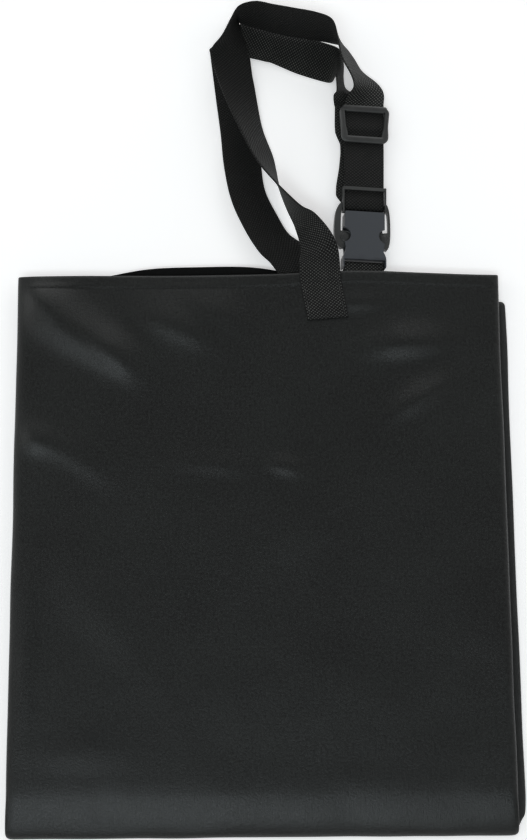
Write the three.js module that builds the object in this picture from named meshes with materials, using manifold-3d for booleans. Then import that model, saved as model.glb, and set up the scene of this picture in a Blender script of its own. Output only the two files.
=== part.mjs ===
// Garden tool bag: a flat fabric bag folded once across, with an adjustable webbing strap that closes
// with a side-release buckle. Millimetres. +Z is up, +X runs along the mouth, +Y runs from the fold to the
// strap. The origin is on the underside, at the middle of the folded bag.
import * as THREE from "three";
import { mergeVertices } from "three/addons/utils/BufferGeometryUtils.js";
import Module from "manifold-3d";

const wasm = await Module();
wasm.setup();

// ---------- driving dimensions ----------
const GAP = 0.3; // between pieces that touch
const FABRIC = 1.2; // thickness of a fabric layer
const BAG_HALF = 177.5; // half the width of the bag
const MOUTH_Y = 201.5; // mouth of the bag
const FOLD_Y = -201.5; // outermost line of the cross fold
const CLOSED_Y = 182.5; // closed end, folded underneath
const UNDER_SHIFT = 6; // the half underneath lies this far to the right
const HEM = 10; // depth of the turned hem at the mouth
const HEM_THICK = 0.8;
const SIDE_ROLL = 4; // how far the rolled side seam reaches in from the edge
const CORNER = 7; // corner radius at the closed end

const WEB_WIDTH = 30; // webbing
const WEB_THICK = 1.5;

// Heights of the four fabric layers, from the ground up: front, back, back, front.
const LOW_INSIDE = 2.2; // room inside the half underneath
const BETWEEN_HALVES = 0.4;
const TOP_INSIDE = 6.8; // room inside the upper half
const FRONT_LOW = 0;
const BACK_LOW = FRONT_LOW + FABRIC + LOW_INSIDE;
const BACK_TOP = BACK_LOW + FABRIC + BETWEEN_HALVES;
const FRONT_TOP = BACK_TOP + FABRIC + TOP_INSIDE;
const STACK = FRONT_TOP + FABRIC;
const FOLD_RADIUS = STACK / 2;
const FOLD_CENTRE_Y = FOLD_Y + FOLD_RADIUS;

// Buckle train: socket, plug and slider lie on one straight line, turned a little from +Y and leaning.
const TRAIN = { x: 79, y: 249, z: 9.6, lean: 8, turn: -1.3 }; // at the mouth of the socket, degrees
const FRONT_LAYER = 1.75; // height of the strap's upper layer over the train's middle
const BACK_LAYER = -2.75; // and of its lower layer
const LOOP_BAR = 4.5; // where the strap bends round the plug's inner bar
const SLIDER = {
  near: 56, far: 83, nearHalf: 17.6, farHalf: 19.6, bar: 4.2, corner: 4.3, frameThick: 2.4, crossbar: 6,
};
const TRAIN_END = 86; // where the two legs of the strap take over

// ---------- materials ----------
const matte = (color, roughness) => new THREE.MeshStandardMaterial({ color, roughness, metalness: 0 });
const fabricMaterial = () => matte(0x25282a, 0.72);
const webbingMaterial = () => matte(0x1f2020, 0.85);
const plasticMaterial = () => matte(0x3a3d42, 0.45);
const sliderMaterial = () => matte(0x2f3130, 0.5);

const bag = new THREE.Group();
const train = new THREE.Group();
train.position.set(TRAIN.x, TRAIN.y, TRAIN.z);
train.rotation.set(0, THREE.MathUtils.degToRad(TRAIN.lean), THREE.MathUtils.degToRad(TRAIN.turn), "ZYX");
bag.add(train);

function piece(name, geometry, material, parent = bag) {
  const mesh = new THREE.Mesh(geometry, material);
  mesh.name = name;
  parent.add(mesh);
  return mesh;
}

// ---------- geometry helpers ----------
/** A closed geometry with shared vertices, as a solid that can be joined and cut. */
function solid(geometry) {
  const bare = geometry.clone();
  bare.deleteAttribute("normal");
  bare.deleteAttribute("uv");
  const merged = mergeVertices(bare, 1e-4);
  return new wasm.Manifold(new wasm.Mesh({
    numProp: 3,
    vertProperties: new Float32Array(merged.attributes.position.array),
    triVerts: new Uint32Array(merged.index.array),
  }));
}

function fromSolid(body) {
  const mesh = body.getMesh();
  const geometry = new THREE.BufferGeometry();
  geometry.setAttribute("position", new THREE.BufferAttribute(new Float32Array(mesh.vertProperties), 3));
  geometry.setIndex(new THREE.BufferAttribute(new Uint32Array(mesh.triVerts), 1));
  geometry.computeVertexNormals();
  return geometry;
}

/** A box between two corners. */
function block(low, high) {
  const size = high.map((value, axis) => value - low[axis]);
  const centre = high.map((value, axis) => (value + low[axis]) / 2);
  return new THREE.BoxGeometry(...size).translate(...centre);
}

/** A flat outline in XY, given its height. */
function plate(shape, low, high, curveSegments = 6) {
  return new THREE.ExtrudeGeometry(shape, { depth: high - low, bevelEnabled: false, curveSegments })
    .translate(0, 0, low);
}

/** A section drawn in (across, up) and extruded along +Y from near to far. */
function alongY(section, near, far, curveSegments = 8) {
  const options = { depth: far - near, bevelEnabled: false, curveSegments };
  return new THREE.ExtrudeGeometry(section, options).rotateX(Math.PI / 2).translate(0, far, 0);
}

/** A rectangle with rounded corners, their radii in the order low left, low right, top right, top left. */
function roundedOutline(x0, y0, x1, y1, [a, b, c, d]) {
  const shape = new THREE.Shape();
  shape.moveTo(x0 + a, y0);
  shape.lineTo(x1 - b, y0);
  if (b) shape.absarc(x1 - b, y0 + b, b, -Math.PI / 2, 0);
  shape.lineTo(x1, y1 - c);
  if (c) shape.absarc(x1 - c, y1 - c, c, 0, Math.PI / 2);
  shape.lineTo(x0 + d, y1);
  if (d) shape.absarc(x0 + d, y1 - d, d, Math.PI / 2, Math.PI);
  shape.lineTo(x0, y0 + a);
  if (a) shape.absarc(x0 + a, y0 + a, a, Math.PI, Math.PI * 1.5);
  return shape;
}

/** Half an elliptical ring, open towards -X: a rolled edge that joins two layers. */
function rollSection(reach, low, high, wall) {
  const middle = (low + high) / 2;
  const half = (high - low) / 2;
  const shape = new THREE.Shape();
  shape.moveTo(0, middle - half);
  shape.absellipse(0, middle, reach, half, -Math.PI / 2, Math.PI / 2);
  shape.lineTo(0, middle + half - wall);
  shape.absellipse(0, middle, reach - wall, half - wall, Math.PI / 2, -Math.PI / 2, true);
  shape.closePath();
  return shape;
}

// ---------- bag ----------
const PANEL_HALF = BAG_HALF - SIDE_ROLL - GAP;

function panels() {
  const near = FOLD_CENTRE_Y + GAP;
  const upper = roundedOutline(-PANEL_HALF, near, PANEL_HALF, MOUTH_Y, [0, 0, 0, 0]);
  piece("front_panel_upper", plate(upper, FRONT_TOP, FRONT_TOP + FABRIC), fabricMaterial());
  piece("back_panel_upper", plate(upper, BACK_TOP, BACK_TOP + FABRIC), fabricMaterial());
  const far = CLOSED_Y - SIDE_ROLL - GAP;
  const lower = roundedOutline(
    UNDER_SHIFT - PANEL_HALF, near, UNDER_SHIFT + PANEL_HALF, far, [0, 0, CORNER, CORNER]);
  piece("back_panel_lower", plate(lower, BACK_LOW, BACK_LOW + FABRIC), fabricMaterial());
  piece("front_panel_lower", plate(lower, FRONT_LOW, FRONT_LOW + FABRIC), fabricMaterial());
}

function hems() {
  const strip = (low) => block([-PANEL_HALF, MOUTH_Y - HEM, low], [PANEL_HALF, MOUTH_Y, low + HEM_THICK]);
  piece("front_hem", strip(FRONT_TOP - GAP - HEM_THICK), fabricMaterial());
  piece("back_hem", strip(BACK_TOP + FABRIC + GAP), fabricMaterial());
}

/** The rolled seams down both sides of one half, and across the closed end. */
function seams() {
  const lowerFar = CLOSED_Y - CORNER - SIDE_ROLL;
  const halves = [
    { name: "upper", low: BACK_TOP, high: STACK, shift: 0, far: MOUTH_Y },
    { name: "lower", low: FRONT_LOW, high: BACK_LOW + FABRIC, shift: UNDER_SHIFT, far: lowerFar },
  ];
  for (const half of halves) {
    const section = rollSection(SIDE_ROLL, half.low, half.high, FABRIC);
    const right = alongY(section, FOLD_CENTRE_Y + GAP, half.far, 6);
    const left = right.clone().rotateZ(Math.PI).translate(0, FOLD_CENTRE_Y + GAP + half.far, 0);
    right.translate(half.shift + BAG_HALF - SIDE_ROLL, 0, 0);
    left.translate(half.shift - BAG_HALF + SIDE_ROLL, 0, 0);
    piece(`side_seam_right_${half.name}`, right, fabricMaterial());
    piece(`side_seam_left_${half.name}`, left, fabricMaterial());
  }
  const end = rollSection(SIDE_ROLL, FRONT_LOW, BACK_LOW + FABRIC, FABRIC);
  const half = PANEL_HALF - CORNER;
  const seam = alongY(end, -half, half, 6).rotateZ(Math.PI / 2);
  piece("closed_end_seam", seam.translate(UNDER_SHIFT, CLOSED_Y - SIDE_ROLL, 0), fabricMaterial());
}

/** The front and back panels where they bend round the cross fold. */
function foldBends() {
  const bends = [
    { name: "front_panel_fold", low: FRONT_LOW, high: STACK, half: BAG_HALF },
    { name: "back_panel_fold", low: BACK_LOW, high: BACK_TOP + FABRIC, half: PANEL_HALF },
  ];
  for (const { name, low, high, half } of bends) {
    const section = rollSection((high - low) / 2, low, high, FABRIC);
    const bend = alongY(section, -half, half, 10).rotateZ(-Math.PI / 2);
    piece(name, bend.translate(0, FOLD_CENTRE_Y, 0), fabricMaterial());
  }
}

// ---------- strap ----------
/**
 * Webbing ruled between its two edges: each station holds a point of the first edge and one of the second.
 * The piece runs between two stations, first and last, counted from 0.
 */
function webbing(stations, first, last, steps) {
  const edge = (side) => new THREE.CatmullRomCurve3(
    stations.map((station) => new THREE.Vector3(...station[side])), false, "catmullrom");
  const [edgeOne, edgeTwo] = [edge(0), edge(1)];
  const spans = stations.length - 1;
  const trim = GAP / edgeOne.getLength(); // keeps neighbouring runs apart
  const start = first / spans + (first > 0 ? trim : 0);
  const end = last / spans - (last < spans ? trim : 0);
  const middle = (t) => edgeOne.getPoint(t).lerp(edgeTwo.getPoint(t), 0.5);
  const geometry = new THREE.BoxGeometry(WEB_WIDTH, WEB_THICK, 1, 1, 1, steps);
  const position = geometry.attributes.position;
  for (let i = 0; i < position.count; i += 1) {
    const t = THREE.MathUtils.lerp(start, end, 0.5 - position.getZ(i));
    const across = edgeTwo.getPoint(t).sub(edgeOne.getPoint(t)).normalize();
    const tangent = middle(Math.min(t + 0.002, 1)).sub(middle(Math.max(t - 0.002, 0))).normalize();
    const normal = new THREE.Vector3().crossVectors(across, tangent).normalize();
    const point = middle(t)
      .addScaledVector(across, position.getX(i))
      .addScaledVector(normal, position.getY(i));
    position.setXYZ(i, point.x, point.y, point.z);
  }
  return geometry;
}

/** Webbing that folds flat over itself on a slanted crease: from start, round the corner, to end. */
function foldedWebbing(start, corner, end, radius, steps) {
  const [from, turn, to] = [start, corner, end].map(([x, y]) => new THREE.Vector2(x, y));
  const inward = turn.clone().sub(from).normalize();
  const outward = to.clone().sub(turn).normalize();
  const beyond = inward.clone().sub(outward).normalize(); // across the crease
  const reach = from.distanceTo(turn);
  const wrap = Math.PI * radius;
  const length = reach + to.distanceTo(turn);
  const geometry = new THREE.BoxGeometry(WEB_WIDTH, WEB_THICK, length, 4, 1, steps);
  const position = geometry.attributes.position;
  const right = new THREE.Vector2(inward.y, -inward.x);
  for (let i = 0; i < position.count; i += 1) {
    const height = position.getY(i);
    const flat = from.clone()
      .addScaledVector(inward, length / 2 - position.getZ(i))
      .addScaledVector(right, position.getX(i));
    const past = flat.clone().sub(turn).dot(beyond);
    let lift = height;
    if (past > wrap) {
      flat.addScaledVector(beyond, wrap - 2 * past);
      lift = 2 * radius - height;
    } else if (past > 0) {
      const angle = past / radius;
      flat.addScaledVector(beyond, (radius - height) * Math.sin(angle) - past);
      lift = radius - (radius - height) * Math.cos(angle);
    }
    position.setXYZ(i, flat.x, flat.y, start[2] + lift);
  }
  return geometry;
}

/** Webbing bent in the train's upright plane along [along, up] points; skew moves it sideways. */
function trainWebbing(path, steps, skew = () => 0) {
  const spine = new THREE.CatmullRomCurve3(path.map(([along, up]) => new THREE.Vector3(0, along, up)));
  const geometry = new THREE.BoxGeometry(WEB_WIDTH, WEB_THICK, 1, 1, 1, steps);
  const position = geometry.attributes.position;
  const across = new THREE.Vector3(1, 0, 0);
  for (let i = 0; i < position.count; i += 1) {
    const t = 0.5 - position.getZ(i);
    const point = spine.getPointAt(t);
    const normal = new THREE.Vector3().crossVectors(across, spine.getTangentAt(t));
    point.addScaledVector(normal, position.getY(i));
    position.setXYZ(i, position.getX(i) + skew(t), point.y, point.z);
  }
  return geometry;
}

// The front leg: sewn flat on the front panel, over the mouth, half a twist, up the left side, along the
// top on its edge, half a twist back and down to the slider. Edge one starts on the left, edge two on the
// right.
const FRONT_LEG = [
  [[30.5, 209.5, 15.6], [60, 211, 18]],
  [[33, 221, 11], [53.5, 227, 28]],
  [[28, 240, 6], [42, 242, 32]],
  [[23, 253, 3], [32.5, 248, 31]],
  [[19, 264, 2.5], [23, 256.5, 32]],
  [[16, 275, 2.5], [13, 267, 32]],
  [[14, 287, 3], [3.5, 279, 30]],
  [[11.5, 298.5, 3.6], [-5, 293, 28.5]],
  [[4.5, 318, 4], [-15, 315, 26.8]],
  [[0.5, 338, 4.2], [-23, 335.5, 22]],
  [[-3, 359, 6], [-30.5, 359, 16.5]],
  [[-7, 379, 8], [-34.5, 375, 18]],
  [[-11.5, 396, 8], [-25.5, 384, 29]],
  [[-14.5, 408.5, 5], [-18.5, 397, 31]],
  [[-12.5, 405.5, 5.4], [-12.3, 405.5, 34]],
  [[0, 401, 5.9], [0, 409, 33.7]],
  [[14.4, 396.5, 6.3], [13, 406.5, 33.5]],
  [[28, 393.5, 6.3], [28, 403.5, 33.5]],
  [[44, 390.7, 5.8], [45, 400, 33.5]],
  [[57, 388.8, 4.6], [57, 394.3, 33]],
  [[67, 386, 3], [61, 380.5, 31.5]],
  [[73.5, 377, 3], [62.8, 366, 29]],
  [[79, 365, 3.5], [69.5, 352, 26.5]],
  [[90, 354.5, 5], [71, 344.5, 22.5]],
  [[95.6, 343.5, 7.2], [67, 340.2, 16.5]],
  [[95.1, 337.6, 9.2], [65.4, 338.3, 13.4]],
];
const FRONT_LEG_CUTS = { crossing: 7, corner: 12, topEnd: 19, slider: 25 };

// The back leg: sewn inside the back panel, out of the mouth, up under the front leg, folded over at the
// corner, flat along the top, then on its edge down to the slider and behind it.
const BACK_LEG_RISE = [
  [[23, 171, 8.6], [53, 173, 8.6]],
  [[19.5, 188, 8.7], [47.5, 193, 8.7]],
  [[16.5, 202, 9.2], [41.5, 213, 8.5]],
  [[9.5, 211, 11], [34, 226, 6]],
  [[1, 220, 12.5], [22.5, 236, 3]],
  [[-9, 236, 11.5], [14.5, 251, 2]],
  [[-18.5, 258, 12.5], [5.5, 270, 2]],
  [[-24, 285, 11], [2.5, 289, 1.6]],
  [[-27.5, 314, 4.5], [2.3, 316, 1.4]],
  [[-31, 343, 1.4], [-1.1, 346, 1.4]],
];
const BACK_LEG_CORNER = { start: [-16.1, 345.2, 1.3], corner: [-22, 395], end: [15.5, 385.4] };
const BACK_LEG_TOP = [
  [[17.4, 400.8, 3.4], [9.2, 372, 3.4]],
  [[38, 394, 1.8], [31.5, 364.7, 1.8]],
  [[59, 386.8, 1.6], [53.8, 357.6, 2]],
  [[66, 380, 1.8], [59, 356.2, 16]],
  [[69.5, 371, 2], [60.2, 354, 25]],
  [[70.5, 360, 2.4], [60.2, 347, 28]],
  [[71.5, 351, 2.6], [60, 339.5, 26]],
  [[82, 343.5, 2], [59, 336, 14]],
  [[90.5, 337.7, 5.3], [60.8, 338.4, 9.5]],
];
const BACK_LEG_CUTS = { turn: 2, slider: 8 };
const CREASE_RADIUS = 1.2; // of the strap's mid-line where it folds over

function sewnEnd() {
  const flat = STACK + GAP + WEB_THICK / 2;
  const ends = [
    [[36.5, 162.5, flat], [66.3, 164.5, flat]],
    [[29.6, 205.2, flat], [59.6, 206.6, flat]],
  ];
  piece("strap_sewn_end", webbing(ends, 0, 1, 2), webbingMaterial());
}

function frontLeg() {
  const { crossing, corner, topEnd, slider } = FRONT_LEG_CUTS;
  piece("front_leg_rise", webbing(FRONT_LEG, 0, crossing, 26), webbingMaterial());
  piece("front_leg_side", webbing(FRONT_LEG, crossing, corner, 16), webbingMaterial());
  piece("front_leg_top", webbing(FRONT_LEG, corner, topEnd, 24), webbingMaterial());
  piece("front_leg_end", webbing(FRONT_LEG, topEnd, slider, 18), webbingMaterial());
}

function backLeg() {
  const { start, corner, end } = BACK_LEG_CORNER;
  const { turn, slider } = BACK_LEG_CUTS;
  piece("back_leg_rise", webbing(BACK_LEG_RISE, 0, BACK_LEG_RISE.length - 1, 24), webbingMaterial());
  piece("back_leg_side", foldedWebbing(start, corner, end, CREASE_RADIUS, 44), webbingMaterial());
  piece("back_leg_top", webbing(BACK_LEG_TOP, 0, turn, 8), webbingMaterial());
  piece("back_leg_end", webbing(BACK_LEG_TOP, turn, slider, 20), webbingMaterial());
}

/** The stretch of strap that passes through the slider and bends round the plug's inner bar. */
function buckleLoop() {
  const radius = (FRONT_LAYER - BACK_LAYER) / 2;
  const middle = (FRONT_LAYER + BACK_LAYER) / 2;
  const bend = [];
  for (let step = 1; step < 8; step += 1) {
    const angle = Math.PI / 2 + (Math.PI * step) / 8;
    bend.push([LOOP_BAR + radius * Math.cos(angle), middle + radius * Math.sin(angle)]);
  }
  const path = [
    [TRAIN_END, FRONT_LAYER], [60, FRONT_LAYER], [30, FRONT_LAYER], [12, FRONT_LAYER],
    [LOOP_BAR, FRONT_LAYER],
    ...bend,
    [LOOP_BAR, BACK_LAYER], [12, BACK_LAYER], [30, BACK_LAYER], [60, BACK_LAYER], [TRAIN_END, BACK_LAYER],
  ];
  const drift = (t) => -4 * THREE.MathUtils.smoothstep(t, 0.5, 0.95); // the lower layer lies off to the left
  piece("strap_buckle_loop", trainWebbing(path, 60, drift), webbingMaterial(), train);
}

/** The short strap that holds the socket: round its bar, and into the mouth of the bag. */
function socketStrap() {
  const radius = SOCKET.barThick / 2 + GAP + WEB_THICK / 2;
  const bend = [];
  for (let step = 1; step < 8; step += 1) {
    const angle = Math.PI / 2 - (Math.PI * step) / 8;
    bend.push([SOCKET.bend + radius * Math.cos(angle), radius * Math.sin(angle)]);
  }
  const root = -45.5; // where it flattens into the mouth
  const path = [
    [root, radius], [SOCKET.bend - 2, radius], [SOCKET.bend, radius],
    ...bend,
    [SOCKET.bend, -radius], [SOCKET.bend - 2, -radius], [root, -radius],
  ];
  piece("socket_strap_loop", trainWebbing(path, 28), webbingMaterial(), train);
  const inside = FRONT_TOP - GAP - HEM_THICK - 2 * GAP;
  const end = block([61, 174, inside - 2 * WEB_THICK - GAP], [91, 202.6, inside]);
  piece("socket_strap_sewn_end", end, webbingMaterial());
}

// ---------- buckle ----------
// In the train's own frame: u across, v along, w up, with the origin at the socket's mouth.
const SOCKET = {
  halfWidth: 15, length: 43.4, halfThick: 5.5, cavityHalf: 3.2, wallHalf: 12.4,
  windowNear: -11, windowFar: -30, barThick: 3, bend: -40.7, slotNear: -37, slotFar: -40.2,
};
const PLUG = {
  halfWidth: 16.4, railInner: 15.3, far: 19.5, outerBar: 17, innerBar: [4.6, 7.2], base: [-7, -1.4],
  top: 4.6, bottom: -2,
};

const ARMS = { left: { bow: 6, hollow: 0.9 }, right: { bow: 3.4, hollow: 1.5 } };
const ARM_HALF_THICK = 2.3;

const wallInside = SOCKET.wallHalf - GAP; // half the width of what goes in at the socket's mouth

function socketOutline() {
  const { halfWidth: half, length } = SOCKET;
  const shape = new THREE.Shape();
  const waist = half - 0.8;
  const flare = half + 1.2;
  shape.moveTo(-half + 2, 0);
  shape.lineTo(half - 2, 0);
  shape.quadraticCurveTo(half, 0, half, -2);
  shape.lineTo(half, -13);
  shape.absarc(half + 1.2, -18.5, 5.6, 1.75, Math.PI * 1.5 - 0.2, false);
  shape.quadraticCurveTo(waist, -28, waist, -31);
  shape.quadraticCurveTo(flare, -34, flare, -37);
  shape.lineTo(flare, -length + 2);
  shape.quadraticCurveTo(flare, -length, flare - 2, -length);
  shape.lineTo(-flare + 2, -length);
  shape.quadraticCurveTo(-flare, -length, -flare, -length + 2);
  shape.lineTo(-flare, -37);
  shape.quadraticCurveTo(-flare, -34, -waist, -31);
  shape.quadraticCurveTo(-waist, -28, -half - 0.1, -24);
  shape.absarc(-half - 1.2, -18.5, 5.6, -Math.PI / 2 + 0.2, Math.PI - 1.75, false);
  shape.lineTo(-half, -2);
  shape.quadraticCurveTo(-half, 0, -half + 2, 0);
  return shape;
}

function buckleSocket() {
  const { halfThick, cavityHalf, wallHalf, windowNear, windowFar, barThick, slotNear, slotFar } = SOCKET;
  const slotHalf = WEB_WIDTH / 2 + 0.3;
  let shell = solid(plate(socketOutline(), -halfThick, halfThick, 8));
  const cuts = [
    block([-wallHalf, -30, -cavityHalf], [wallHalf, 1, cavityHalf]),
    block([-30, windowFar, -cavityHalf], [30, windowNear, cavityHalf]),
    block([-slotHalf, slotFar, -20], [slotHalf, slotNear, 20]),
    block([-slotHalf, -60, barThick / 2], [slotHalf, slotNear + 0.01, 20]),
    block([-slotHalf, -60, -20], [slotHalf, slotNear + 0.01, -barThick / 2]),
  ];
  for (const cut of cuts) shell = shell.subtract(solid(cut));
  piece("buckle_socket", fromSolid(shell), plasticMaterial(), train);
}

function bucklePlug() {
  const { halfWidth, railInner, far, outerBar, innerBar, base, top, bottom } = PLUG;
  const neck = 1.1; // the shoulders between the rails and the base end here
  const lowTop = FRONT_LAYER - WEB_THICK / 2 - GAP; // the inner bar and the base stay under the webbing
  const parts = [
    block([-halfWidth, 0.3, bottom], [-railInner, far, top]),
    block([railInner, 0.3, bottom], [halfWidth, far, top]),
    block([-halfWidth, outerBar, FRONT_LAYER + WEB_THICK / 2 + GAP], [halfWidth, far, top]),
    block([-halfWidth, innerBar[0], bottom + 0.5], [halfWidth, innerBar[1], lowTop]),
    block([-wallInside, base[0], bottom], [wallInside, base[1], 2]),
    block([-wallInside, base[1] - 1, bottom], [-wallInside + 2.4, neck, 2]),
    block([wallInside - 2.4, base[1] - 1, bottom], [wallInside, neck, 2]),
    block([-halfWidth, 0.3, bottom], [-wallInside + 2.4, neck, 2]),
    block([wallInside - 2.4, 0.3, bottom], [halfWidth, neck, 2]),
    block([-2.4, -26, -1.6], [2.4, base[0] + 1, 1.6]),
  ];
  let frame = solid(parts[0]);
  for (const part of parts.slice(1)) frame = frame.add(solid(part));
  piece("plug_frame", fromSolid(frame), plasticMaterial(), train);
}

/**
 * One release arm: a bow outside the plug's rail that ends in a thumb pad. Bow is how far it stands out,
 * and hollow how far its inner side stands off the rail.
 */
function releaseArm(name, side, { bow, hollow }) {
  const u = (value) => side * value;
  const root = PLUG.halfWidth + GAP;
  const hook = 11; // how far in the pad reaches through the socket's window
  const shape = new THREE.Shape();
  shape.moveTo(u(root), 8);
  shape.quadraticCurveTo(u(root + 0.7 * bow), 5, u(root + 0.85 * bow), -3);
  shape.quadraticCurveTo(u(root + bow), -12, u(root + 0.92 * bow), -18);
  shape.quadraticCurveTo(u(root + 0.8 * bow), -26.5, u(root + 0.6), -28);
  shape.lineTo(u(hook), -26);
  shape.quadraticCurveTo(u(hook - 1.2), -20.5, u(hook), -15.5);
  shape.lineTo(u(root + hollow), -14.6);
  shape.quadraticCurveTo(u(root + 1.1 * hollow), -6, u(root + 0.7 * hollow), -1);
  shape.quadraticCurveTo(u(root + 0.4 * hollow), 2, u(root), 3.2);
  shape.closePath();
  piece(name, plate(shape, -ARM_HALF_THICK, ARM_HALF_THICK, 8), plasticMaterial(), train);
}

/** The slider: a frame over the strap, wider at its far end, and a bar under the strap's upper layer. */
function triGlide() {
  const { near, far, nearHalf, farHalf, bar, corner, frameThick, crossbar } = SLIDER;
  const over = FRONT_LAYER + WEB_THICK / 2 + GAP;
  const under = FRONT_LAYER - WEB_THICK / 2 - GAP;
  const top = over + frameThick;
  const low = BACK_LAYER + WEB_THICK / 2 + GAP;
  const inner = WEB_WIDTH / 2 + 2 * GAP;
  const outline = new THREE.Shape();
  outline.moveTo(-nearHalf + corner, near);
  outline.lineTo(nearHalf - corner, near);
  outline.quadraticCurveTo(nearHalf, near, nearHalf, near + corner);
  outline.lineTo(farHalf, far - corner);
  outline.quadraticCurveTo(farHalf, far, farHalf - corner, far);
  outline.lineTo(-farHalf + corner, far);
  outline.quadraticCurveTo(-farHalf, far, -farHalf, far - corner);
  outline.lineTo(-nearHalf, near + corner);
  outline.quadraticCurveTo(-nearHalf, near, -nearHalf + corner, near);
  let frame = solid(plate(outline, low, top, 4));
  const middle = (near + far) / 2;
  const cuts = [
    block([-inner, near - 1, low - 1], [inner, far + 1, over]),
    block([-inner, near + bar, low - 1], [inner, far - bar, top + 1]),
  ];
  for (const cut of cuts) frame = frame.subtract(solid(cut));
  const lowerBar = block([-inner - 1, middle - crossbar / 2, low], [inner + 1, middle + crossbar / 2, under]);
  frame = frame.add(solid(lowerBar));
  piece("tri_glide", fromSolid(frame), sliderMaterial(), train);
}

panels();
hems();
seams();
foldBends();
sewnEnd();
frontLeg();
backLeg();
buckleLoop();
socketStrap();
buckleSocket();
bucklePlug();
releaseArm("release_arm_left", -1, ARMS.left);
releaseArm("release_arm_right", 1, ARMS.right);
triGlide();

export default bag;
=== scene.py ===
"""Garden tool bag: looks.

A flat fabric bag, folded once across, with a webbing strap that closes with a side-release buckle.
The bag is one lofted shell and every run of the strap is a ribbon of its own. The socket, the plug and its
arms keep their CAD solids with rounded edges, and the slider is a body of its own.
Points and lengths in this file are in millimetres until a mesh is made.
"""
import math

import bmesh
import bpy
import numpy as np
from mathutils import Matrix, Vector, noise


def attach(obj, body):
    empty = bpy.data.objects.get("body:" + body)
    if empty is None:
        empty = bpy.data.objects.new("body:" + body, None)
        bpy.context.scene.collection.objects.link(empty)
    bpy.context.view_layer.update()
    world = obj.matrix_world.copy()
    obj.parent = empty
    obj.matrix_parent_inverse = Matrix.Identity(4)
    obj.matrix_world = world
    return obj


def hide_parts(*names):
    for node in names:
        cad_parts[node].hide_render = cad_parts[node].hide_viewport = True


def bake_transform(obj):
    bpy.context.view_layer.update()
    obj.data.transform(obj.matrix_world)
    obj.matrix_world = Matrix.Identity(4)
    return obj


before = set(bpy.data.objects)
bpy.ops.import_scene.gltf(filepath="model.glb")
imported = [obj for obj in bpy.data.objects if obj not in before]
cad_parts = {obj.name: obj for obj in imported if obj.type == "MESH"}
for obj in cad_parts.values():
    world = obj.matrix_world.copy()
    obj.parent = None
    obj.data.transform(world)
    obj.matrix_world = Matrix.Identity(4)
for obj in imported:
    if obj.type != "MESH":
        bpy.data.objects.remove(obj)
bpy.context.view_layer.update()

MM = 0.001
SCENE = bpy.context.scene

# ---------- the same driving dimensions as the CAD model ----------
BAG_HALF = 177.5
MOUTH_Y = 201.5
FOLD_Y = -201.5
CLOSED_Y = 182.5
UNDER_SHIFT = 6
WEB_WIDTH = 30
WEB_THICK = 1.5
TRAIN_ORIGIN = Vector((79, 249, 9.6))
TRAIN_LEAN = math.radians(8)
TRAIN_TURN = math.radians(-1.3)
FRONT_LAYER = 1.75
BACK_LAYER = -2.75
LOOP_BAR = 4.5
SOCKET_BAR = -40.7
SLIDER = {"near": 54.6, "far": 84.2, "near_half": 17.8, "far_half": 19.9, "bar": 5.2}
SLIDER_CROSSBAR = 69.5

TRAIN_AXES = Matrix.Rotation(TRAIN_TURN, 3, "Z") @ Matrix.Rotation(TRAIN_LEAN, 3, "Y")


def on_train(u, v, w):
    """A point of the buckle's own frame: u across, v along, w up."""
    return TRAIN_ORIGIN + TRAIN_AXES @ Vector((u, v, w))


# ---------- camera ----------
def make_camera():
    tilt = math.radians(12)
    turn = 0.00785
    distance = 1.188
    target = Vector((0.0032, 0.0946, 0))
    ahead = Vector((math.sin(turn), math.cos(turn), 0))
    right = Vector((math.cos(turn), -math.sin(turn), 0))
    sight = ahead * math.sin(tilt) - Vector((0, 0, 1)) * math.cos(tilt)
    up = right.cross(sight)
    camera = bpy.data.objects.new("camera", bpy.data.cameras.new("camera"))
    rotation = Matrix((right, up, -sight)).transposed()
    camera.matrix_world = Matrix.Translation(target - sight * distance) @ rotation.to_4x4()
    camera.data.lens = 69.6
    camera.data.sensor_width = 36
    camera.data.clip_start = 0.05
    camera.data.clip_end = 50
    SCENE.collection.objects.link(camera)
    SCENE.camera = camera


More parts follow.
